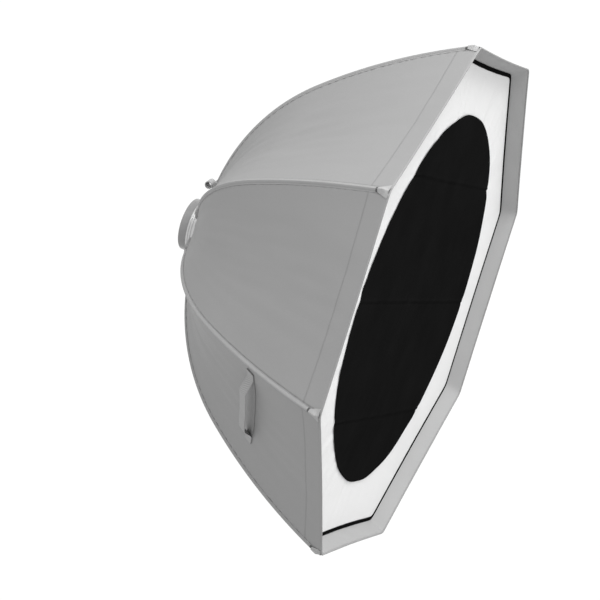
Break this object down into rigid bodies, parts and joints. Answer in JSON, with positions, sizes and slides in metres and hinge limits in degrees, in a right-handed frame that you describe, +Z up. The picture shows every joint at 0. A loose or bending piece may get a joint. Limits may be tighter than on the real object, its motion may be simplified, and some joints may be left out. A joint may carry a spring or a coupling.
{
  "type": "octagonal softbox",
  "caption": "Octagonal softbox for a studio flash: rib-tensioned cloth shell, recessed diffuser with a dark centre disc, inner baffle and a rotating clamp mount.",
  "frame": {"origin": "on the optical axis, at the rear mouth of the rubber collar that grips the lamp head", "axes": "+Y points back along the optical axis to the lamp, the mouth of the softbox faces -Y, +Z is up between two corners of the octagon, and +X is to the right seen from the front"},
  "size_m": [1.1126, 0.5854, 1.1126],
  "materials": {
    "black_barrel": "satin black anodised",
    "gloss_cap": "glossy dark grey",
    "collar_rubber": "matt black",
    "bare_ring": "turned, lightly brushed",
    "nylon": "natural nylon",
    "steel": "zinc plated",
    "tip_plastic": "moulded",
    "shell_cloth": "coated woven nylon, silver inside",
    "webbing": "woven tape",
    "hook_tape": "hook-and-loop tape",
    "white_cloth": "white diffusing cloth",
    "black_cloth": "opaque black cloth",
    "socket_plastic": "moulded glass-filled nylon",
    "glass_fibre": "pultruded glass fibre"
  },
  "bodies": {
    "mount": {"mount_barrel": "black_barrel", "rear_cap": "gloss_cap", "rubber_collar": "collar_rubber", "bearing_ring": "bare_ring", "friction_washer": "nylon", "hub_retainer": "black_barrel"},
    "clamp_ring": {"clamp_ring": "bare_ring"},
    "push_ring": {"push_ring": "nylon", "drive_pins": "steel"},
    "softbox": {"hub_bush": "nylon", "hub_plate": "black_barrel", "socket_screws": "steel", "rod_socket_1": "socket_plastic", "rod_socket_2": "socket_plastic", "rod_socket_3": "socket_plastic", "rod_socket_4": "socket_plastic", "rod_socket_5": "socket_plastic", "rod_socket_6": "socket_plastic", "rod_socket_7": "socket_plastic", "rod_socket_8": "socket_plastic", "rib_rod_1": "glass_fibre", "rib_rod_2": "glass_fibre", "rib_rod_3": "glass_fibre", "rib_rod_4": "glass_fibre", "rib_rod_5": "glass_fibre", "rib_rod_6": "glass_fibre", "rib_rod_7": "glass_fibre", "rib_rod_8": "glass_fibre", "rod_tips": "tip_plastic", "rib_sleeves": "shell_cloth", "shell_gore_1": "shell_cloth", "shell_gore_2": "shell_cloth", "shell_gore_3": "shell_cloth", "shell_gore_4": "shell_cloth", "shell_gore_5": "shell_cloth", "shell_gore_6": "shell_cloth", "shell_gore_7": "shell_cloth", "shell_gore_8": "shell_cloth", "corner_patches": "webbing", "front_lip": "shell_cloth", "loop_tape": "hook_tape", "inner_baffle": "white_cloth", "baffle_straps": "webbing", "baffle_buttons": "tip_plastic", "handle_base": "webbing", "grab_handle": "webbing", "hub_loop": "webbing"},
    "front_diffuser": {"diffuser_binding": "hook_tape", "diffuser_sheet": "white_cloth", "centre_disc": "black_cloth"}
  },
  "joints": [
    {"name": "softbox_spin", "type": "hinge", "parent": "mount", "child": "softbox", "pos_m": [0, 0, 0], "axis": [0, 1, 0], "continuous": true},
    {"name": "clamp_turn", "type": "hinge", "parent": "mount", "child": "clamp_ring", "pos_m": [0, 0, 0], "axis": [0, 1, 0], "range_deg": [0, 60]},
    {"name": "push_slide", "type": "slide", "parent": "mount", "child": "push_ring", "axis": [0, 1, 0], "range_m": [0, 0.0018]},
    {"name": "diffuser_removal", "type": "slide", "parent": "softbox", "child": "front_diffuser", "axis": [0, -1, 0], "range_m": [0, 0.12]}
  ],
  "couplings": [
    {"joint": "push_slide", "follows": "clamp_turn", "m_per_rad": 0.0017188}
  ]
}
